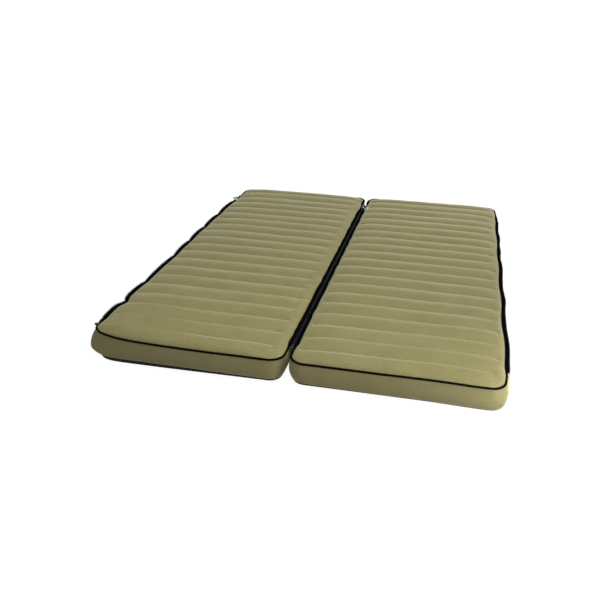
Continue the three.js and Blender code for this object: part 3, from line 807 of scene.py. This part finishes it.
@dataclass
class Pad(Sewn):
    """One single pad: its cover, the piping of its top seam, and the hard pieces on it."""

    side: Side
    wardrobe: Wardrobe
    wander: Wander
    shape: PadShape = PadShape()
    columns: int = 72
    # How hard the top is blown up, how far it may swell and for how many frames.
    air: float = 4.0
    swell: float = 1.2 * MM
    frames: int = 20
    # Where the welds end, as a share of the half width, how far they stray and how they ease off.
    weld_end: float = 0.985
    weld_stray: float = 0.03
    weld_ease: float = 0.07
    # How far rows bend near the inner side, and how far inside the other dimples lie.
    inner_hook: float = 5 * MM
    dimple: float = 26 * MM
    # Puckers along the seam, and slow rolls of the whole top.
    pucker: float = 1.1 * MM
    roll: float = 1.0 * MM
    # How the walls vary: the share of their swell, and pleats.
    loose: float = 0.16
    pleat: float = 1.7 * MM
    # Radius of the valve's hole, and how high it lies over the valve's lowest point.
    valve_hole: float = 12.5 * MM
    valve_axis: float = 16 * MM
    # How much thicker the piping is past the middle zip's head, with the tape's tail sewn in; part of that
    # thickness is painted shadow, black piping laid over the shaded gap between the pads.
    tail: float = 0.7

    @property
    def name(self) -> str:
        """The pad's name, as its nodes have it."""
        return self.side.name.lower()

    @property
    def traits(self) -> Traits:
        """What the other pad doesn't share."""
        return TRAITS[self.side]

    @property
    def body(self) -> str:
        """The body that the pad rides on."""
        return f"{self.name}_pad"

    @property
    def sign(self) -> int:
        """The pad's sign along X."""
        return self.side.value

    @property
    def x(self) -> float:
        """Where the pad's centre line is."""
        return self.sign * self.shape.centre

    def stations(self) -> list[float]:
        """Sets out the rows of the top, closer beside each weld.

        Returns:
            Their places along the pad.
        """
        shape = self.shape
        steps = [share * shape.pitch for share in (0, 0.025, 0.06, 0.11, 0.18, 0.28, 0.39, 0.5)]
        steps_between = steps + [shape.pitch - step for step in reversed(steps[1:-1])]
        places = [valley + step for valley in shape.valleys()[:-1] for step in steps_between]
        last = shape.valleys()[-1]
        edge = shape.half_length - shape.corner
        tail = [last + step for step in steps[1:6]] + [edge]
        tail += [edge + shape.corner * math.sin(math.pi / 2 * i / 9) for i in range(1, 10)]
        return [-place for place in reversed(tail)] + places + [last] + tail

    def column_shares(self) -> list[float]:
        """Sets out the columns of the top, closer near the seams.

        Returns:
            Their places, as shares of the half width.
        """
        half = self.columns // 2
        shares = [0.6 * i / half + 0.4 * math.sin(math.pi / 2 * i / half) for i in range(half + 1)]
        return [-share for share in reversed(shares[1:])] + shares

    def weld(self, index: int, across: float) -> float:
        """Says how firmly a valley's weld holds the cloth.

        Args:
            index: which valley, from the foot end.
            across: share of the half width.

        Returns:
            1 where the weld holds and 0 past its end. Each weld ends at its own place.
        """
        facing = across * self.sign < 0
        stray = ripple(index * 1.7, self.sign * 3.1, 0.5 if facing else 8.5)
        end = self.weld_end + stray * self.weld_stray
        if facing:
            end -= self.traits.short_facing
        elif index % 2 == 0:
            end -= self.traits.short_outer
        return smooth(end - abs(across), 0, self.weld_ease)

    def fade(self, across: float, along: float) -> float:
        """Gives the share of a valley's depth that is left: at the foot they are faint outwards."""
        outwards = smooth(across * self.sign, -0.5, 1.1)
        return 1 - self.traits.faint * outwards * smooth(-along, 0.5, 0.35)

    def hook(self, across: float, along: float) -> float:
        """Says how far rows bend along the pad near its sides, where welds turn in pairs.

        Args:
            across: share of the half width.
            along: place along the pad.

        Returns:
            The move along the pad, in metres.
        """
        shape = self.shape
        first = shape.valleys()[0]
        if abs(along) > -first:
            return 0.0
        most = self.traits.hook if across * self.sign > 0 else self.inner_hook
        turn = smooth(abs(across), 0.88, 0.1)
        return most * turn * math.cos(math.pi * (along - first) / shape.pitch)

    def top_panel(self) -> None:
        """Builds the crowned top with its crosswise channels, blown up as cloth."""
        shape, stations, shares = self.shape, self.stations(), self.column_shares()
        valleys = shape.valleys()
        rows, held = [], {}
        inset = shape.pipe * 0.7
        for i, along in enumerate(stations):
            reach = shape.reach(along) - inset
            nearest = min(range(len(valleys)), key=lambda k: abs(valleys[k] - along))
            row = []
            for j, share in enumerate(shares):
                weld = self.weld(nearest, share)
                uneven = 0.95 + 0.45 * ripple(share * 1.6, nearest * 1.3, self.sign * 7)
                dip = self.traits.firmness * shape.depth * shape.valley_share(along) * weld * uneven
                dip *= self.fade(share, along)
                dip *= min(shape.dome(share, along) / (0.55 * shape.crown), 1)
                place = along - math.copysign(inset, along) * (abs(along) > shape.half_length - 1e-6)
                spot = Vector((self.x + share * reach, place + self.hook(share, along),
                               shape.seam + shape.cloth / 2 + shape.dome(share, along) - dip))
                row.append((spot, (spot.x, spot.y)))
                edge = j in (0, len(shares) - 1) or i in (0, len(stations) - 1)
                at_valley = abs(valleys[nearest] - along) < 1e-6
                if edge or (at_valley and weld > 0.01):
                    held[i * len(shares) + j] = 1.0 if edge else weld * self.fade(share, along)
            rows.append(row)
        piece = lay_cloth(f"{self.name}_cover_top", rows)
        self.inflate(piece, held)
        self.crease(piece)
        self.wander.bend(piece)
        apply(piece, "SOLIDIFY", "Cloth thickness", {"thickness": shape.cloth, "offset": -1.0})
        self.finish(piece, "top_panel", "top_cloth", self.wardrobe.top, 0.85)

    def inflate(self, piece: Object, held: dict[int, float]) -> None:
        """Blows the top up as cloth held at its seams and welds.

        Args:
            piece: the top panel, a little slack.
            held: for each held corner, how firmly.
        """
        start = [vertex.co.copy() for vertex in piece.data.vertices]
        group = piece.vertex_groups.new(name="Held")
        for index, weight in held.items():
            group.add([index], weight, "REPLACE")
        only(piece)
        modifier = piece.modifiers.new("Air", "CLOTH")
        cloth = modifier.settings
        cloth.vertex_group_mass = "Held"
        cloth.quality = 5
        cloth.mass = 0.25
        cloth.tension_stiffness = cloth.compression_stiffness = 22
        cloth.shear_stiffness = 9
        cloth.bending_stiffness = 0.35
        cloth.use_pressure = True
        cloth.uniform_pressure_force = self.air
        cloth.effector_weights.gravity = 0
        modifier.collision_settings.use_collision = False
        modifier.point_cache.frame_start = 1
        modifier.point_cache.frame_end = self.frames
        scene = bpy.context.scene
        for step in range(1, self.frames + 1):
            scene.frame_set(step)
        blown = piece.evaluated_get(bpy.context.evaluated_depsgraph_get()).data
        ends = [vertex.co.copy() for vertex in blown.vertices]
        piece.modifiers.remove(modifier)
        scene.frame_set(1)
        most = 0.0
        for vertex, low, high in zip(piece.data.vertices, start, ends):
            move = high - low
            most = max(most, move.length)
            vertex.co = low + move * min(1.0, self.swell / max(move.length, 1e-9))
        piece.vertex_groups.clear()
        log.info("%s swelled by up to %.1f mm", piece.name, most / MM)

    def crease(self, piece: Object) -> None:
        """Adds the dimples at weld ends, the puckers along the seam and the slow rolls of the top.

        Args:
            piece: the top panel.
        """
        shape = self.shape
        valleys = shape.valleys()
        for vertex in piece.data.vertices:
            place = vertex.co
            across = (place.x - self.x) / shape.half_width
            from_side = shape.half_width - abs(place.x - self.x)
            drop = 0.0
            facing = across * self.sign < 0
            near_side = near(from_side, self.traits.dimple if facing else self.dimple, 12 * MM)
            if near_side > 0.02:
                for i, valley in enumerate(valleys):
                    deep = ripple(i * 2.3, self.sign + math.copysign(2, across), 4.0)
                    drop += near_side * near(place.y, valley, 7 * MM) * (1.1 + 2.6 * max(deep, 0)) * MM
            inner = min(from_side, shape.half_length - abs(place.y))
            pull = ripple(place.x * 36, place.y * 36, 2.0 + self.sign)
            drop += self.pucker * pull * near(inner, 14 * MM, 16 * MM)
            if facing:
                for x, y, long, deep in self.traits.tucks:
                    slant = place.y - y - 0.3 * (place.x - x)
                    drop += deep * near(place.x, x, long) * near(slant, 0, 9 * MM)
            roll = ripple(place.x * 3.1, place.y * 7, 6.0 + self.sign)
            drop += self.roll * roll * smooth(inner, 0, 60 * MM)
            vertex.co.z -= drop

    def wall_place(self, place: Vector, out: Vector, height: float, run: float) -> Vector:
        """Gives a place on the blown-out side wall.

        Args:
            place: the seam's place about the pad's centre.
            out: the direction out of the pad there.
            height: share of the wall's height.
            run: how far along the seam.

        Returns:
            The place in the model.
        """
        shape = self.shape
        facing = -self.sign * out.x > 0
        side_bulge = shape.facing_bulge if facing else shape.outer_bulge
        bulge = out.x ** 2 * side_bulge + out.y ** 2 * shape.end_bulge
        share = math.sin(math.pi * height ** 0.9) ** 0.8 if 0 < height < 1 else 0.0
        still = self.wander.still(Vector((self.x + place.x, place.y, 0.04)))
        loose = ripple(place.x * 5, place.y * 5, 21.0 + self.sign)
        pleat = ripple(run * 19, height * 1.6, 31.0 + self.sign)
        swell = bulge * share * (1 + self.loose * loose * still)
        swell += self.pleat * pleat * share ** 0.5 * (0.35 + height) * still
        offset = swell - shape.rim_inset * (1 - height) ** 1.2 + 0.3 * MM * height
        low, high = shape.rim - 0.3 * MM, shape.seam - shape.pipe * 0.55
        spot = place + out * offset
        return Vector((self.x + spot.x, spot.y, low + (high - low) * height))

    def border(self) -> None:
        """Builds the side wall between the base and the piping, with the valve's hole."""
        stops = self.shape.outline(12 * MM)
        levels = [0, 0.04, 0.1, 0.2, 0.32, 0.46, 0.6, 0.74, 0.86, 0.95, 1.0]
        tall = 80 * MM
        rows = [[(self.wall_place(place, out, height, run), (run, height * tall))
                 for place, out, run in stops] for height in levels]
        piece = lay_cloth(f"{self.name}_cover_wall", rows, closed=True)
        apply(piece, "SUBSURF", "Smooth cloth", {"levels": 1, "render_levels": 1})
        self.wander.bend(piece)
        apply(piece, "SOLIDIFY", "Cloth thickness", {"thickness": self.shape.cloth, "offset": -1.0})
        low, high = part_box(f"{self.name}_valve_body")
        bpy.ops.mesh.primitive_cylinder_add(
            vertices=40, radius=self.valve_hole, depth=60 * MM, rotation=(math.pi / 2, 0, 0),
            location=((low.x + high.x) / 2, self.wander.end_seam, low.z + self.valve_axis))
        punch = bpy.context.active_object
        apply(piece, "BOOLEAN", "Valve hole", {"object": punch, "operation": "DIFFERENCE", "solver": "EXACT"})
        bpy.data.objects.remove(punch)
        self.finish(piece, "border", "wall_cloth", self.wardrobe.wall, 0.7)

    def skin(self, name: str, step: float, rounds: Sequence[tuple[float, float]]) -> Object:
        """Lays a closed skin round and round the pad, from the middle of its underside outwards.

        Args:
            name: the piece's name.
            step: the distance between places on the straight sides.
            rounds: how far each round lies inside the seam and how high, in millimetres.

        Returns:
            The skin, bent as the cover is.
        """
        rows = []
        for inset, height in rounds:
            row, pull = [], inset * MM
            for place, out, _ in self.shape.outline(step):
                spot = place - out * pull
                if pull > self.shape.corner:
                    spot = Vector((place.x * (1 - pull / self.shape.half_width),
                                   place.y * (1 - pull / self.shape.half_length)))
                across = self.x + spot.x
                row.append((Vector((across, spot.y, height * MM)), (across, spot.y)))
            rows.append(row)
        piece = lay_cloth(name, rows, closed=True)
        apply(piece, "WELD", "Close middle", {"merge_threshold": 0.2 * MM})
        self.wander.bend(piece)
        return piece

    def base_panel(self) -> None:
        """Builds the black base, turned up at its edge to meet the wall."""
        piece = self.skin(f"{self.name}_cover_base", 16 * MM, [
            (345, 1.3), (330, 1.3), (260, 1.3), (170, 1.3), (90, 1.3), (44, 1.2), (26, 1.2), (19, 1.6),
            (14.2, 2.0), (11.2, 4.2), (9.2, 7.2), (8.6, 10.4)])
        apply(piece, "SOLIDIFY", "Cloth thickness", {"thickness": 1.2 * MM, "offset": 1.0})
        self.finish(piece, "base_panel", "base_cloth", self.wardrobe.base)

    def bladder(self) -> None:
        """Builds the inner bladder, a welded film bag that fills the cover."""
        piece = self.skin(f"{self.name}_film_bladder", 40 * MM, [
            (345, 2.4), (200, 2.4), (60, 2.4), (30, 3.2), (17, 8), (9, 22), (5, 40), (5, 56), (9, 70),
            (18, 79), (36, 84), (60, 87), (100, 89), (200, 90), (345, 90)])
        self.finish(piece, "air_bladder", "bladder_film", self.wardrobe.film, 0.9)

    def piping(self) -> None:
        """Builds the corded piping round the top seam."""
        shape, sides = self.shape, 12
        stops = shape.outline(9 * MM, 10)
        rows = []
        for i in range(sides + 1):
            row, angle = [], -2 * math.pi * i / sides
            for place, out, run in stops:
                thick = shape.pipe * (1 + 0.07 * ripple(run * 30, i * 0.1, 9.0))
                # Past the middle zip's head the piping thickens: partly the sewn-in tape tail, partly black
                # cover for the shade in the gap between the pads.
                inside = smooth(-place.x * self.sign, 0.28, 0.04)
                thick *= 1 + self.tail * inside * smooth(place.y, 0.86, 0.04)
                spot = place + out * (thick * math.cos(angle))
                height = shape.seam + thick * math.sin(angle)
                row.append((Vector((self.x + spot.x, spot.y, height)), (run, -angle * shape.pipe)))
            rows.append(row)
        piece = lay_cloth(f"{self.name}_cord_piping", rows, closed=True)
        apply(piece, "WELD", "Close tube", {"merge_threshold": 0.02 * MM})
        self.wander.bend(piece)
        self.finish(piece, "top_piping", "piping_cloth", self.wardrobe.piping)

    def build(self) -> None:
        """Builds the whole pad."""
        self.top_panel()
        self.border()
        self.base_panel()
        self.piping()
        self.bladder()
        self.wardrobe.dress_node(f"{self.name}_valve_body", self.wardrobe.valve)
        self.wardrobe.dress_node(f"{self.name}_valve_cap", self.wardrobe.valve)
        self.wardrobe.dress_node(f"{self.name}_valve_flap", self.wardrobe.rubber)


@dataclass
class ZipHalf(Sewn):
    """Tape and coil of one half of a zip."""

    name: str
    body: str
    line: float
    side: int
    wardrobe: Wardrobe
    wander: Wander
    inner: float = 2.7 * MM
    outer: float = 8.6 * MM
    foot: float = -880 * MM
    head: float = 850 * MM
    # A coil of this size has a turn every 1.5 mm. It is drawn with one every 3 mm.
    turn: float = 3 * MM
    # Where the filament runs beside the zip's line, how wide its turns are and how thick it is.
    coil_middle: float = 1.75 * MM
    coil_radius: float = 1.15 * MM
    filament: float = 0.42 * MM
    step: float = 10 * MM

    def tape(self) -> None:
        """Builds the woven tape between the coil and the piping."""
        shape = self.wander.shape
        count = round((self.head - self.foot) / self.step)
        rows = []
        for i in range(count + 1):
            row, along = [], self.foot + (self.head - self.foot) * i / count
            for share in (0, 0.35, 0.7, 1.0):
                cut = max(4 * MM * (1 - share) - (along - self.foot), 0)
                across = self.inner + (self.outer - self.inner) * share
                sag = 0.8 * MM * math.sin(math.pi * share)
                place = Vector((self.line + self.side * across, along + cut, shape.seam - sag))
                row.append((place, (along, across)))
            rows.append(row[::self.side])
        piece = lay_cloth(f"{self.name}_woven_tape", rows)
        self.wander.bend(piece)
        apply(piece, "SOLIDIFY", "Tape thickness", {"thickness": 0.8 * MM, "offset": 0.0})
        self.finish(piece, "tape", "tape_cloth", self.wardrobe.tape)

    def coil(self) -> None:
        """Builds the nylon coil as one turn of filament, repeated along the tape."""
        low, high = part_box(f"{self.name}_coil")
        count = int((high.y - low.y) / self.turn)
        bpy.ops.mesh.primitive_torus_add(
            major_segments=10, minor_segments=4, major_radius=self.coil_radius,
            minor_radius=self.filament, location=(0, 0, 0), rotation=(math.pi / 2, 0, 0))
        piece = bpy.context.active_object
        piece.name = f"{self.name}_filament_coil"
        piece.scale = (0.95, 1.0, 0.8)
        bpy.ops.object.transform_apply(location=True, rotation=True, scale=True)
        middle = self.line + self.side * self.coil_middle
        start = low.y + self.turn * (0.5 if self.side < 0 else 1.0)
        piece.data.transform(Matrix.Translation((middle, start, self.wander.shape.seam)))
        apply(piece, "ARRAY", "Turns", {
            "count": count, "use_relative_offset": False, "use_constant_offset": True,
            "constant_offset_displace": (0.0, self.turn, 0.0)})
        piece.data.shade_smooth()
        self.wander.bend(piece)
        self.finish(piece, "coil", "coil_nylon", self.wardrobe.coil)

    def build(self) -> None:
        """Builds the half."""
        self.tape()
        self.coil()


@dataclass
class PullRibbon(Sewn):
    """Mint ribbon looped through a slider's bridge."""

    name: str
    body: str
    line: float
    wardrobe: Wardrobe
    # The tail's line from the bridge, in millimetres: outwards, upwards and towards the foot end.
    path: Sequence[tuple[float, float, float]]
    folds_with: str | None = None
    along: float = 0.8
    bridge: float = 92.5 * MM
    width: float = 12 * MM
    cloth: float = 0.9 * MM
    # How far the tail is twisted by its end.
    twist: float = math.radians(48)
    eye: float = 2.15 * MM
    # How narrow it is where it is bunched in the bridge.
    bunched: float = 0.3
    tilt: float = math.radians(10)

    def centre_line(self) -> list[Vector]:
        """Smooths the line of the ribbon's tail.

        Returns:
            Its places, from the bridge outwards.
        """
        points = [Vector(point) * MM for point in self.path]
        points = [points[0] * 2 - points[1], *points, points[-1] * 2 - points[-2]]
        line: list[Vector] = []
        for a, b, c, d in zip(points, points[1:], points[2:], points[3:]):
            for i in range(6):
                t = i / 6
                line.append(0.5 * ((2 * b) + (c - a) * t + (2 * a - 5 * b + 4 * c - d) * t * t
                                   + (3 * b - a - 3 * c + d) * t ** 3))
        line.append(points[-2])
        return line

    def build(self) -> None:
        """Builds the ribbon: out along one layer, round the bridge and back along the other."""
        tail = self.centre_line()
        half = self.cloth * 0.56
        upper, lower = [], []
        for i, point in enumerate(tail):
            way = (tail[min(i + 1, len(tail) - 1)] - tail[max(i - 1, 0)]).normalized()
            left = Vector((-way.y, way.x, 0))
            if point.xy.length > self.eye * 1.5:
                upper.append(point + left * half)
                lower.append(point - left * half)
        way = upper[0] + lower[0]
        heading = math.atan2(way.y, way.x)
        loop = [Vector((math.cos(heading + turn), math.sin(heading + turn), 0)) * self.eye
                for turn in (math.radians(40 + 280 * i / 12) for i in range(13))]
        line = upper[::-1] + loop + lower
        rows, run = [], 0.0
        for i, point in enumerate(line):
            run += (point - line[i - 1]).length if i else 0.0
            away = min(i, len(line) - 1 - i)
            out = 1 - away / (len(line) / 2)
            wide = self.width * (self.bunched + (1 - self.bunched) * smooth(out * 2))
            turn = self.twist * smooth(out * 1.6)
            row = []
            for share in (0, 0.04, 0.3, 0.7, 0.96, 1):
                across = wide * (share - 0.5)
                place = Vector((self.line + point.x, self.along - point.z + across * math.cos(turn),
                                self.bridge + point.y + across * math.sin(turn)))
                row.append((place, (run, across)))
            rows.append(row)
        piece = lay_cloth(f"{self.name}_pull_ribbon", rows)
        apply(piece, "SOLIDIFY", "Ribbon thickness", {"thickness": self.cloth, "offset": 0.0})
        self.finish(piece, "ribbon", "ribbon_cloth", self.wardrobe.ribbon)
        if self.folds_with:
            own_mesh(piece)


@dataclass(frozen=True)
class Lamp:
    """A soft light, with where it hangs and what it points at."""

    name: str
    place: tuple[float, float, float]
    target: tuple[float, float, float]
    energy: float
    # The side of its square, or the angle that a sun fills.
    breadth: float
    sun: bool = False

    def hang(self) -> None:
        """Hangs the light in its place and points it."""
        light = bpy.data.lights.new(self.name, "SUN" if self.sun else "AREA")
        light.energy = self.energy
        if self.sun:
            light.angle = self.breadth
        else:
            light.shape = "SQUARE"
            light.size = self.breadth
        holder = bpy.data.objects.new(self.name, light)
        place = Vector(self.place)
        aim = (Vector(self.target) - place).to_track_quat("-Z", "Y").to_matrix().to_4x4()
        holder.matrix_world = Matrix.Translation(place) @ aim
        bpy.context.collection.objects.link(holder)


@dataclass(frozen=True)
class Studio:
    """Camera, lamps, world and floor."""

    eye: tuple[float, float, float] = (0.481, -3.0255, 1.2262)
    yaw: float = math.radians(12.049)
    pitch: float = math.radians(23.757)
    roll: float = math.radians(1.272)
    lens: float = 44.051
    sky: float = 0.36
    # How bright the floor glows where it is seen, and the share of it that no shadow darkens.
    glow: float = 1.08
    unshaded: float = 0.88
    lamps: tuple[Lamp, ...] = (
        Lamp("Key", (2.6, 3.4, 3.4), (0, 0, 0), 1.48, math.radians(30), sun=True),
        Lamp("Foot", (0.2, -1.2, 1.3), (0.2, -1.0, 0), 5.7, 0.9),
        Lamp("Head", (0.8, 0.9, 1.4), (0.8, 0.9, 0), 4.0, 0.8),
        Lamp("Fill", (-0.8, -2.2, 0.4), (-0.35, -1.0, 0.05), 0.5, 0.8),
        Lamp("Side", (1.15, -1.25, 0.2), (0.7, -0.97, 0.05), 6.4, 0.3))

    def camera(self) -> None:
        """Puts the camera where the photograph was taken from."""
        ahead = Vector((-math.sin(self.yaw) * math.cos(self.pitch),
                        math.cos(self.yaw) * math.cos(self.pitch), -math.sin(self.pitch)))
        level = Vector((math.cos(self.yaw), math.sin(self.yaw), 0))
        upright = level.cross(ahead)
        right = level * math.cos(self.roll) + upright * math.sin(self.roll)
        up = upright * math.cos(self.roll) - level * math.sin(self.roll)
        lens = bpy.data.cameras.new("Camera")
        lens.lens = self.lens
        lens.sensor_width = 36
        lens.clip_end = 200
        view = bpy.data.objects.new("Camera", lens)
        aim = Matrix((right, up, -ahead)).transposed().to_4x4()
        view.matrix_world = Matrix.Translation(Vector(self.eye)) @ aim
        bpy.context.collection.objects.link(view)
        bpy.context.scene.camera = view

    def backdrop_share(self, tree: NodeTree) -> NodeSocket:
        """Gives 1 for rays that show the backdrop, directly or in a reflection.

        Args:
            tree: the node tree that asks.

        Returns:
            The output with the share.
        """
        ray = add_node(tree, "LightPath").outputs
        seen = add_node(tree, "Math", {
            0: ray["Is Camera Ray"], 1: ray["Is Glossy Ray"]}, operation="MAXIMUM").outputs["Value"]
        return add_node(tree, "Math", {
            0: seen, 1: ray["Is Transmission Ray"]}, operation="MAXIMUM").outputs["Value"]

    def world(self) -> None:
        """Makes an even pale sky, white where it is seen."""
        world = bpy.data.worlds.new("Studio")
        tree = clear_tree(world)
        soft = add_node(tree, "Background", {"Color": linear("f4f6fa"), "Strength": self.sky})
        white = add_node(tree, "Background", {"Color": (1, 1, 1, 1), "Strength": 1.0})
        mix = add_node(tree, "MixShader", {
            0: self.backdrop_share(tree), 1: soft.outputs[0], 2: white.outputs[0]})
        add_node(tree, "OutputWorld", {"Surface": mix.outputs[0]})
        bpy.context.scene.world = world

    def floor(self) -> None:
        """Lays a white floor that keeps a soft shadow."""
        bpy.ops.mesh.primitive_plane_add(size=120, location=(0, 0, -0.3 * MM))
        floor = bpy.context.active_object
        floor.name = "studio_floor"
        material = bpy.data.materials.new("studio_paper")
        tree = clear_tree(material)
        paper = add_node(tree, "BsdfDiffuse", {"Color": linear("f2f2f2")})
        glow = add_node(tree, "Emission", {"Color": (1, 1, 1, 1), "Strength": self.glow})
        share = add_node(tree, "Math", {
            0: self.backdrop_share(tree), 1: self.unshaded}, operation="MULTIPLY")
        mix = add_node(tree, "MixShader", {
            0: share.outputs["Value"], 1: paper.outputs[0], 2: glow.outputs[0]})
        add_node(tree, "OutputMaterial", {"Surface": mix.outputs[0]})
        floor.data.materials.append(material)

    def build(self) -> None:
        """Sets the studio up."""
        bpy.context.scene.view_settings.view_transform = "Standard"
        self.camera()
        for lamp in self.lamps:
            lamp.hang()
        self.world()
        self.floor()


# Each ribbon's tail from its bridge, in millimetres: outwards, upwards and towards the foot end.
MIDDLE_TAIL = ((0, 0, 0), (8, 0, 8), (13, 1, 24), (15, 2, 44), (19, 6, 64), (26, 12, 75),
               (33, 16, 70), (38, 18, 61))
LEFT_TAIL = ((0, 0, 0), (5, 2, 16), (10, 4, 34), (12, 7, 52), (8, 11, 66), (6, 15, 76),
             (14, 16, 84), (24, 13, 86), (30, 9, 80))


def main() -> None:
    """Builds the mattress piece by piece and reports each one."""
    logging.basicConfig(level=logging.INFO, format="%(message)s")
    Studio().build()
    wardrobe = Wardrobe()
    shape = PadShape()
    wander = Wander(shape)
    for side in Side:
        Pad(side, wardrobe, wander, shape).build()
    outer = 712 * MM
    ZipHalf("middle_left", "zip_band", 0.0, -1, wardrobe, wander).build()
    ZipHalf("middle_right", "zip_band", 0.0, 1, wardrobe, wander).build()
    ZipHalf("left_outer", "left_pad", -outer, 1, wardrobe, wander).build()
    ZipHalf("right_outer", "right_pad", outer, -1, wardrobe, wander).build()
    PullRibbon("middle", "middle_tab", 0.0, wardrobe, MIDDLE_TAIL, folds_with="fold_left").build()
    PullRibbon("left_outer", "left_tab", -outer, wardrobe, LEFT_TAIL).build()
    for node in ("middle_slider", "left_outer_slider", "middle_left_stop", "middle_right_stop",
                 "left_outer_stop", "right_outer_stop"):
        wardrobe.dress_node(node, wardrobe.slider)
    for node in ("middle_left_pin", "middle_box", "left_outer_box", "right_outer_pin"):
        wardrobe.dress_node(node, wardrobe.coil)


if __name__ == "__main__":
    main()
